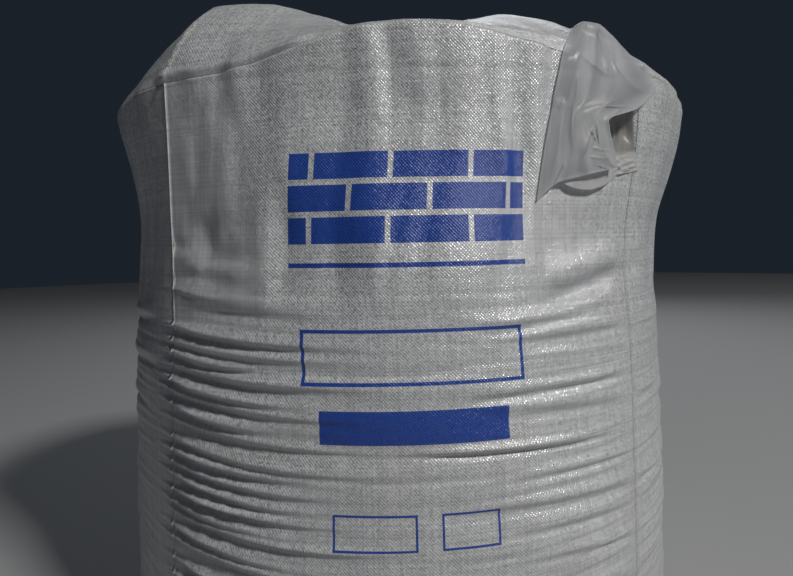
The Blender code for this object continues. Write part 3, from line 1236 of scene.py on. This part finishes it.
@dataclass
class WovenBody:
    """The four side panels, the base and the top skirt."""

    form: BagForm
    folds: Folds
    front_cells: tuple[int, int] = (156, 312)
    plain_cells: tuple[int, int] = (130, 280)
    base_cells: tuple[int, int] = (40, 40)
    skirt_cells: tuple[int, int] = (360, 112)
    fine_rows: float = 0.74
    skirt_length: float = 0.62
    thickness: float = 0.0012
    fin: float = 0.0017
    flat_fin: float = 0.00015
    fin_columns: int = 2
    fin_reach: float = 0.13
    seam_half_gap: float = 0.0003
    seam_drift: float = 0.034
    base_inset: float = 0.004
    base_height: float = 0.002
    panel_cut: Pair = (0.95, 1.22)
    skirt_cut: Pair = (3.80, 0.62)
    skirt_area: float = 1.30
    base_cut: Pair = (0.95, 0.95)

    def drifted(self, side: Side, across: Array, height: Array) -> Array:
        """Let the front left seam creep round to the front where the bag is full.

        Args:
            side: Which wall.
            across: Place across the panel, -1 to 1.
            height: Height above the floor.

        Returns:
            Place across the wall, -1 to 1.
        """
        drift = self.seam_drift / self.form.panel_width * ease((0.95 - height) / 0.30) * ease(height / 0.18)
        if side is Side.FRONT:
            return across + drift * (1.0 - across)
        return across + drift * (1.0 + across) if side is Side.LEFT else across

    def spread(self, x: Array, columns: int) -> tuple[Array, Array]:
        """Share the grid's columns between the panel and the turned edges at its two seams.

        Args:
            x: Grid places from -1 to 1.
            columns: Number of columns.

        Returns:
            Place across the panel from -1 to 1, and the share of the turned edge, from 0 to 1.
        """
        edge = 1.0 - 2.0 * self.fin_columns / columns
        inner = 1.0 - 2.0 * self.seam_half_gap / self.form.panel_width
        across = np.clip(x / edge, -1.0, 1.0) * inner
        return across, np.clip((np.abs(x) - edge) / (1.0 - edge), 0.0, 1.0)

    def panel(self, side: Side) -> bpy.types.Object:
        """Build one side panel, with its folds.

        Args:
            side: Which wall.

        Returns:
            The panel.
        """
        cells = self.front_cells if side is Side.FRONT else self.plain_cells
        low = self.form.fill_height + self.form.slack_start

        def place(x: Array, y: Array) -> Cloth:
            """Put the grid on the wall, with most of its rows where the bag is full.

            Args:
                x: Grid places across, -1 to 1.
                y: Grid places up, -1 to 1.

            Returns:
                Points and flat cloth places.
            """
            across, turned = self.spread(x, cells[0])
            top = self.form.seam(side, across)
            up, split = 0.5 * (y + 1.0), self.fine_rows
            height = np.where(up < split, low * up / split, low + (top - low) * (up - split) / (1.0 - split))
            slack = rising(height - self.form.fill_height, self.form.slack_start, self.fin_reach)
            fin = turned * (self.flat_fin + (self.fin - self.flat_fin) * slack)
            drifted = self.drifted(side, across, height)
            points = self.form.wall(side, drifted, height)
            lift = self.folds.lift(self.form.girth(side, drifted), height)
            points[:, :2] += outwards(points) * (lift + fin)[:, None]
            cloth_across = 0.5 * across * self.form.panel_width + np.sign(x) * fin
            return points, np.column_stack([cloth_across, height])

        return grid_piece(f"woven_{side.name.lower()}", cells, place, self.thickness)

    def skirt(self) -> bpy.types.Object:
        """Build the top skirt, folded over the top, as a ring gathered in the middle.

        Returns:
            The skirt.
        """

        def place(x: Array, y: Array) -> Cloth:
            """Put the grid round the top, its columns closer together at the corners.

            Args:
                x: Grid places across, -1 to 1.
                y: Grid places up, -1 to 1.

            Returns:
                Points and flat cloth places.
            """
            turn = 2.0 * (x + 1.0)
            whole = np.floor(turn)
            bunched = turn - whole - np.sin(math.tau * (turn - whole)) / (2.0 * math.tau)
            girth = (whole + bunched) * self.form.panel_width
            up = 0.5 * (y + 1.0)
            share = 0.45 * up + 0.55 * up**2.2
            run = share * self.skirt_length
            points = self.form.skirt(girth, 1.0 - share)
            lift = self.folds.skirt_lift(girth, run) * ease((1.0 - share) / 0.12)
            lift += self.folds.lift(girth, self.form.seam_at(girth)) * (1.0 - ease(run / 0.09))
            over = rising(share, 0.05, self.form.ridge_share)
            points[:, :2] += outwards(points) * (lift * (1.0 - 0.8 * over))[:, None]
            points[:, 2] += lift * over
            return points, np.column_stack([girth, self.form.seam_height + run])

        return grid_piece("woven_skirt", self.skirt_cells, place, self.thickness, True)

    def base(self) -> bpy.types.Object:
        """Build the flat base.

        Returns:
            The base.
        """

        def place(x: Array, y: Array) -> Cloth:
            """Fill the foot's section with the grid, a little uneven towards its middle.

            Args:
                x: Grid places across, -1 to 1.
                y: Grid places up, -1 to 1.

            Returns:
                Points and flat cloth places.
            """
            reach = np.maximum(np.abs(x), np.abs(y))
            points = self.form.disc(x, y, 0.0, self.base_inset)
            uneven = 0.0004 * SmoothNoise(51).at(x * 12.0, y * 12.0)
            points[:, 2] = self.base_height + uneven * (1.0 - reach)
            return points, points[:, :2]

        return grid_piece("woven_base", self.base_cells, place, self.thickness)

    def build(self) -> list[bpy.types.Object]:
        """Build and dress every woven piece.

        Returns:
            The four panels, the skirt and the base.
        """
        plain = WovenCloth().material()
        printed = WovenCloth(name="printed_cloth", printed=True).material()
        pieces = []
        for side in Side:
            piece = self.panel(side)
            piece.data.materials.append(printed if side is Side.FRONT else plain)
            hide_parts(side.node)
            pieces.append(piece)
        for piece, node in ((self.skirt(), "top_skirt"), (self.base(), "base_panel")):
            piece.data.materials.append(plain)
            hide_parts(node)
            pieces.append(piece)
        for piece in pieces:
            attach(piece, BODY)
            report(piece)
        return pieces


@dataclass
class CementCore:
    """The cement inside the bag, a little inside the cloth's deepest folds."""

    form: BagForm
    inset: float = 0.030
    low: float = 0.006
    crown: float = 0.045
    cuts: int = 23

    def shape(self) -> bmesh.types.BMesh:
        """Make a block with the bag's section and a low crown.

        Returns:
            The block.
        """
        block = bmesh.new()
        bmesh.ops.create_cube(block, size=2.0)
        bmesh.ops.subdivide_edges(block, edges=block.edges, cuts=self.cuts, use_grid_fill=True)
        for vert in block.verts:
            x, y, z = vert.co
            height = self.low + (self.form.fill_height - self.low) * 0.5 * (z + 1.0)
            spot = self.form.disc(np.array([x]), np.array([y]), height, self.inset)[0]
            reach = max(abs(x), abs(y))
            crown = self.crown * math.cos(0.5 * math.pi * reach) ** 2 if z > 1.0 - 1e-6 else 0.0
            vert.co = (spot[0], spot[1], height + crown)
        bmesh.ops.recalc_face_normals(block, faces=block.faces)
        return block

    def build(self) -> None:
        """Build and dress the cement."""
        mesh = mesh_of("cement_core", self.shape())
        mesh.shade_smooth()
        mesh.materials.append(CementPowder().material())
        core = placed("cement_core", mesh)
        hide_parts("cement_fill")
        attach(core, BODY)
        report(core)


class ControlNet:
    """A smooth surface through a small net of points."""

    def __init__(self, rows: Sequence[Sequence[int]], crease: float) -> None:
        """Keep the net's rows, each with the same number of points.

        Args:
            rows: The net's points in millimetres, each row as x, y and z over and over.
            crease: How sharply the surface folds at its columns, from 0, smooth, to 1, faceted.
        """
        self.points = np.array(rows).reshape(len(rows), -1, 3) / 1000.0
        self.crease = crease

    @staticmethod
    def blend(values: Array, place: Array, crease: float) -> Array:
        """Run a smooth curve through values along their second axis.

        Args:
            values: One row of points for each place.
            place: Where to read each row, counted in points.
            crease: How sharply the curve bends at its points.

        Returns:
            One point for each place.
        """
        last = values.shape[1] - 1
        low = np.clip(np.floor(place).astype(int), 0, last - 1)
        step = (place - low)[:, None]
        pick = np.arange(len(place))
        before = values[pick, np.maximum(low - 1, 0)]
        start = values[pick, low]
        end = values[pick, low + 1]
        after = values[pick, np.minimum(low + 2, last)]
        slope_in = 0.5 * (end - before)
        slope_out = 0.5 * (after - start)
        square, cube = step**2, step**3
        near = (2.0 * cube - 3.0 * square + 1.0) * start + (3.0 * square - 2.0 * cube) * end
        smooth = near + (cube - 2.0 * square + step) * slope_in + (cube - square) * slope_out
        return (1.0 - crease) * smooth + crease * (start + (end - start) * step)

    def at(self, across: Array, down: Array) -> Array:
        """Points of the surface.

        Args:
            across: Place from the first column, 0, to the last, 1.
            down: Place from the first row, 0, to the last, 1.

        Returns:
            Points, one row each.
        """
        rows, columns = self.points.shape[:2]
        shape = (len(across), columns, 3)
        along = across * (columns - 1)
        lines = [self.blend(np.broadcast_to(row, shape), along, self.crease) for row in self.points]
        return self.blend(np.stack(lines, axis=1), down * (rows - 1), 0.0)


def cloth_tree(pieces: Sequence[bpy.types.Object]) -> BVHTree:
    """One search tree over the faces of several pieces.

    Args:
        pieces: The pieces, each a mesh at the origin.

    Returns:
        The tree.
    """
    verts: list = []
    faces: list = []
    for piece in pieces:
        start = len(verts)
        verts += [vert.co.copy() for vert in piece.data.vertices]
        faces += [[start + index for index in face.vertices] for face in piece.data.polygons]
    return BVHTree.FromPolygons(verts, faces)


@dataclass
class LinerNeck:
    """The neck of the film liner, spilling out over the front right of the top."""

    carriers: BVHTree
    thickness: float = 0.0004
    clearance: float = 0.003
    back_clearance: float = 0.0015
    clear_from: float = -0.36
    front_cut: Pair = (0.20, 0.45)
    back_cut: Pair = (0.20, 0.12)
    front_cells: tuple[int, int] = (110, 190)
    back_cells: tuple[int, int] = (80, 60)
    crease_scale: Pair = (0.14, 0.42)
    # place across, drift down the film, width and lift
    pleats: Table = (
        (0.24, 0.10, 0.050, 0.0012), (0.50, 0.16, 0.040, 0.0016), (0.80, -0.05, 0.050, 0.0016),
    )
    mean_noise: float = 0.35
    side_hem: float = 0.0022
    low_hem: float = 0.0018
    # start and end as shares across and down, width and lift
    creases: tuple[tuple[Pair, Pair, float, float], ...] = (
        ((0.14, 0.365), (0.74, 0.450), 0.0050, 0.0040),
        ((0.50, 0.270), (0.72, 0.460), 0.0045, 0.0045),
        ((0.66, 0.300), (0.98, 0.560), 0.0040, 0.0040),
        ((0.30, 0.420), (0.44, 0.900), 0.0060, 0.0035),
        ((0.80, 0.730), (0.83, 0.850), 0.0012, 0.0042),
        ((0.72, 0.770), (0.80, 0.830), 0.0010, 0.0032),
        ((0.72, 0.850), (0.96, 0.880), 0.0010, 0.0034),
        ((0.68, 0.885), (0.94, 0.915), 0.0011, 0.0030),
        ((0.78, 0.930), (0.90, 0.985), 0.0010, 0.0026),
        ((0.86, 0.860), (0.97, 1.000), 0.0045, 0.0045),
        ((0.82, 0.740), (0.58, 0.900), 0.0030, 0.0035),
        ((0.36, 0.900), (0.26, 1.010), 0.0014, 0.0035),
        ((0.88, 0.600), (0.97, 0.680), 0.0014, 0.0040),
        ((0.80, 0.610), (0.95, 0.610), 0.0014, 0.0030),
    )
    # rows of points in millimetres, from the top down
    front_net: tuple[tuple[int, ...], ...] = (
        (135, -195, 1218, 145, -185, 1224, 155, -175, 1226, 165, -165, 1228, 175, -155, 1226, 185, -145,
         1224, 195, -135, 1216),
        (232, -270, 1254, 244, -258, 1266, 256, -246, 1272, 268, -234, 1274, 280, -222, 1268, 292, -210,
         1258, 304, -198, 1246),
        (330, -350, 1258, 343, -338, 1270, 356, -328, 1274, 368, -318, 1270, 382, -314, 1262, 400, -314,
         1248, 420, -315, 1232),
        (326, -431, 1246, 340, -431, 1253, 355, -431, 1252, 369, -431, 1249, 380, -428, 1243, 400, -415,
         1229, 425, -385, 1220),
        (311, -450, 1225, 330, -450, 1228, 345, -450, 1221, 361, -448, 1218, 382, -443, 1213, 408, -430,
         1207, 439, -404, 1199),
        (290, -496, 1189, 307, -494, 1185, 327, -487, 1180, 349, -479, 1177, 374, -469, 1171, 402, -459,
         1168, 449, -431, 1175),
        (281, -504, 1151, 299, -503, 1149, 318, -498, 1146, 340, -489, 1143, 368, -479, 1139, 404, -465,
         1139, 474, -419, 1148),
        (272, -507, 1113, 289, -506, 1110, 310, -502, 1109, 331, -495, 1107, 355, -487, 1106, 386, -477,
         1106, 475, -420, 1131),
        (269, -508, 1096, 284, -509, 1094, 302, -505, 1093, 322, -500, 1092, 341, -495, 1092, 366, -486,
         1092, 433, -455, 1095),
        (266, -510, 1080, 280, -510, 1079, 298, -507, 1078, 314, -504, 1078, 332, -500, 1077, 354, -492,
         1077, 375, -488, 1074),
        (260, -514, 1054, 276, -512, 1054, 293, -511, 1053, 310, -506, 1052, 328, -503, 1052, 350, -496,
         1054, 370, -492, 1056),
        (253, -518, 1022, 272, -515, 1021, 291, -514, 1020, 310, -510, 1021, 330, -508, 1022, 351, -501,
         1025, 376, -491, 1030),
        (245, -524, 979, 263, -520, 985, 284, -518, 989, 305, -514, 990, 327, -513, 992, 354, -502, 996,
         384, -485, 1006),
        (237, -529, 931, 255, -522, 947, 276, -518, 963, 301, -514, 969, 330, -511, 976, 358, -499, 982,
         384, -484, 989),
    )
    back_net: tuple[tuple[int, ...], ...] = (
        (297, -498, 1067, 320, -492, 1067, 346, -483, 1071, 385, -427, 1095, 411, -419, 1107, 433, -431,
         1107),
        (291, -502, 1026, 314, -495, 1026, 341, -487, 1027, 386, -425, 1049, 414, -421, 1061, 435, -431,
         1055),
        (286, -510, 991, 314, -505, 989, 345, -494, 992, 372, -476, 1007, 397, -459, 1010, 440, -424, 1018),
        (280, -514, 964, 306, -509, 953, 337, -498, 951, 368, -479, 960, 398, -456, 979, 449, -414, 989),
    )

    def keep_clear(self, points: Array, clearance: float) -> Array:
        """Move points forward until they clear the cloth behind them.

        Args:
            points: Points, one row each, which are changed.
            clearance: How far from the cloth they stay.

        Returns:
            The points.
        """
        for point in points:
            if point[1] > self.clear_from:
                continue
            hit = self.carriers.ray_cast(Vector((point[0], -2.0, point[2])), Vector((0.0, 1.0, 0.0)))[0]
            if hit is not None:
                point[1] = min(point[1], hit.y - clearance)
        return points

    def crease_lift(self, across: Array, down: Array) -> Array:
        """Lift of the single creases, each a straight line over the film.

        Args:
            across: Place across the film, 0 to 1.
            down: Place down the film, 0 to 1.

        Returns:
            How far each point moves forward.
        """
        total = np.zeros_like(across)
        wide, tall = self.crease_scale
        for start, end, width, lift in self.creases:
            first = np.array([start[0] * wide, start[1] * tall])
            along = np.array([end[0] * wide, end[1] * tall]) - first
            length = float(np.linalg.norm(along))
            along /= length
            right, low = across * wide - first[0], down * tall - first[1]
            share = (right * along[0] + low * along[1]) / length
            off = np.abs(right * along[1] - low * along[0])
            total += lift * np.exp(-off / width) * ease(share / 0.25) * fading(share, 0.7, 0.3)
        return total

    def front(self) -> bpy.types.Object:
        """Build the outer layer, from where it leaves the top to its open mouth.

        Returns:
            The outer layer.
        """
        net = ControlNet(self.front_net, 0.45)

        def place(x: Array, y: Array) -> Cloth:
            """Lay the grid over the net, with pleats, crumples, creases and hems.

            Args:
                x: Grid places across, -1 to 1.
                y: Grid places up, -1 to 1.

            Returns:
                Points and flat cloth places.
            """
            across, down = 0.5 * (x + 1.0), 0.5 * (1.0 - y)
            points = net.at(across, down)
            pleats = np.zeros_like(x)
            for middle, drift, width, lift in self.pleats:
                pleats += lift * np.exp(-np.abs(across - middle - drift * (0.5 - down)) / width)
            broad = np.abs(SmoothNoise(61).at(across * 3.0 + down * 2.0, down * 5.0 - across * 2.0))
            fine = np.abs(SmoothNoise(62).at(across * 7.0 - down * 5.0, down * 11.0 + across * 4.0))
            crumple = 0.0012 * (broad - self.mean_noise)
            free = ease(across / 0.10) * ease(down / 0.25)
            points[:, 1] -= free * (pleats + crumple + 0.0008 * (fine - self.mean_noise))
            points[:, 1] -= self.crease_lift(across, down)
            points[:, 1] -= self.side_hem * bell(across - 1.0, 0.035) * rising(down, 0.3, 0.1)
            points[:, 1] -= self.low_hem * bell(down - 1.0, 0.025)
            flat = np.column_stack([across * self.front_cut[0], (1.0 - down) * self.front_cut[1]])
            return self.keep_clear(points, self.clearance), flat

        return grid_piece("liner_film_front", self.front_cells, place, self.thickness)

    def back(self) -> bpy.types.Object:
        """Build the inner layer, which shows in the mouth and beside it.

        Returns:
            The inner layer.
        """
        net = ControlNet(self.back_net, 0.3)

        def place(x: Array, y: Array) -> Cloth:
            """Lay the grid over the net, with streaks, crumples and a crinkled hem.

            Args:
                x: Grid places across, -1 to 1.
                y: Grid places up, -1 to 1.

            Returns:
                Points and flat cloth places.
            """
            across, down = 0.5 * (x + 1.0), 0.5 * (1.0 - y)
            points = net.at(across, down)
            streaks = SmoothNoise(63).at(across * 26.0, down * 3.0)
            crumple = np.abs(SmoothNoise(64).at(across * 9.0 + down * 2.0, down * 6.0))
            hem = np.abs(SmoothNoise(65).at(across * 22.0 - down * 6.0, down * 20.0 + across * 5.0))
            hemmed = rising(down, 0.66, 0.05) * rising(across, 0.72, 0.06)
            crumpled = 0.0008 * streaks + 0.0016 * (crumple - self.mean_noise)
            points[:, 1] -= crumpled + 0.0060 * (hem - self.mean_noise) * hemmed
            flat = np.column_stack([across * self.back_cut[0], (1.0 - down) * self.back_cut[1]])
            return self.keep_clear(points, self.back_clearance), flat

        return grid_piece("liner_film_back", self.back_cells, place, self.thickness)

    def build(self) -> None:
        """Build and dress both layers."""
        outer = LinerFilm().material()
        inner = LinerFilm(
            name="liner_film_inside",
            color=(0.80, 0.80, 0.79, 1.0),
            cloud=(0.86, 0.86, 0.85, 1.0),
            alpha=0.95,
            # with painted shade and cement dust in its pocket
            shaded_dusty_pocket=True,
        ).material()
        for piece, film, flat in ((self.front(), outer, self.front_cut), (self.back(), inner, self.back_cut)):
            piece.data.materials.append(film)
            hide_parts("liner_neck")
            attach(piece, BODY)
            report(piece)


@dataclass(frozen=True)
class SoftLight:
    """A square soft light, hung at a spot and aimed at the bag."""

    name: str
    spot: Triple
    aim: Triple
    size: float
    power: float
    color: Triple

    def build(self) -> None:
        """Hang the light."""
        data = bpy.data.lights.new(self.name, "AREA")
        data.size = self.size
        data.energy = self.power
        data.color = self.color
        lamp = placed(self.name, data)
        lamp.location = self.spot
        lamp.rotation_euler = (Vector(self.aim) - Vector(self.spot)).to_track_quat("-Z", "Y").to_euler()


@dataclass(frozen=True)
class Studio:
    """The plain floor, the lights and the photograph's camera."""

    eye_height: float = 0.875
    eye_distance: float = 1.624
    pitch: float = math.radians(4.42)
    roll: float = math.radians(1.09)
    focal_px: float = 650.0
    picture_width: int = 793
    sensor: float = 36.0
    floor_radius: float = 14.0
    surround: Color = (0.50, 0.70, 1.0, 1.0)
    surround_strength: float = 0.022
    lights: tuple[SoftLight, ...] = (
        SoftLight("key", (5.27, -5.65, 7.65), (0.0, 0.0, 0.75), 1.4, 600.0, (1.0, 0.975, 0.94)),
        SoftLight("back", (1.4, 6.0, 4.2), (0.0, 0.0, 0.8), 2.4, 75.0, (0.93, 0.96, 1.0)),
    )

    def camera(self) -> None:
        """Place the camera at the photograph's viewing angle."""
        data = bpy.data.cameras.new("camera")
        data.sensor_fit = "HORIZONTAL"
        data.sensor_width = self.sensor
        data.lens = self.focal_px / self.picture_width * self.sensor
        camera = placed("camera", data)
        camera.location = (0.0, -self.eye_distance, self.eye_height)
        turn = Euler((0.5 * math.pi - self.pitch, 0.0, 0.0)).to_matrix()
        spin = Euler((0.0, 0.0, -self.roll)).to_matrix()
        camera.rotation_euler = (turn @ spin).to_euler()
        bpy.context.scene.camera = camera

    def floor(self) -> None:
        """Lay a plain pale floor."""
        flat = bmesh.new()
        bmesh.ops.create_circle(flat, cap_ends=True, segments=96, radius=self.floor_radius)
        floor = placed("floor", mesh_of("floor", flat))
        floor.data.materials.append(FloorPaint().material())

    def build(self) -> None:
        """Set up the floor, the lights, the surround and the camera."""
        self.floor()
        for light in self.lights:
            light.build()
        world = bpy.data.worlds.new("surround")
        world.use_nodes = True
        shader = world.node_tree.nodes["Background"]
        shader.inputs["Color"].default_value = self.surround
        shader.inputs["Strength"].default_value = self.surround_strength
        bpy.context.scene.world = world
        bpy.context.scene.view_settings.view_transform = "Standard"
        self.camera()


def main() -> None:
    """Dress the bag, from the walls to the film, and set up the studio."""
    logging.basicConfig(level=logging.INFO, format="%(name)s: %(message)s")
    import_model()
    form = BagForm()
    CementCore(form).build()
    woven = WovenBody(form, Folds(form)).build()
    LinerNeck(cloth_tree(woven)).build()
    Studio().build()


if __name__ == "__main__":
    main()
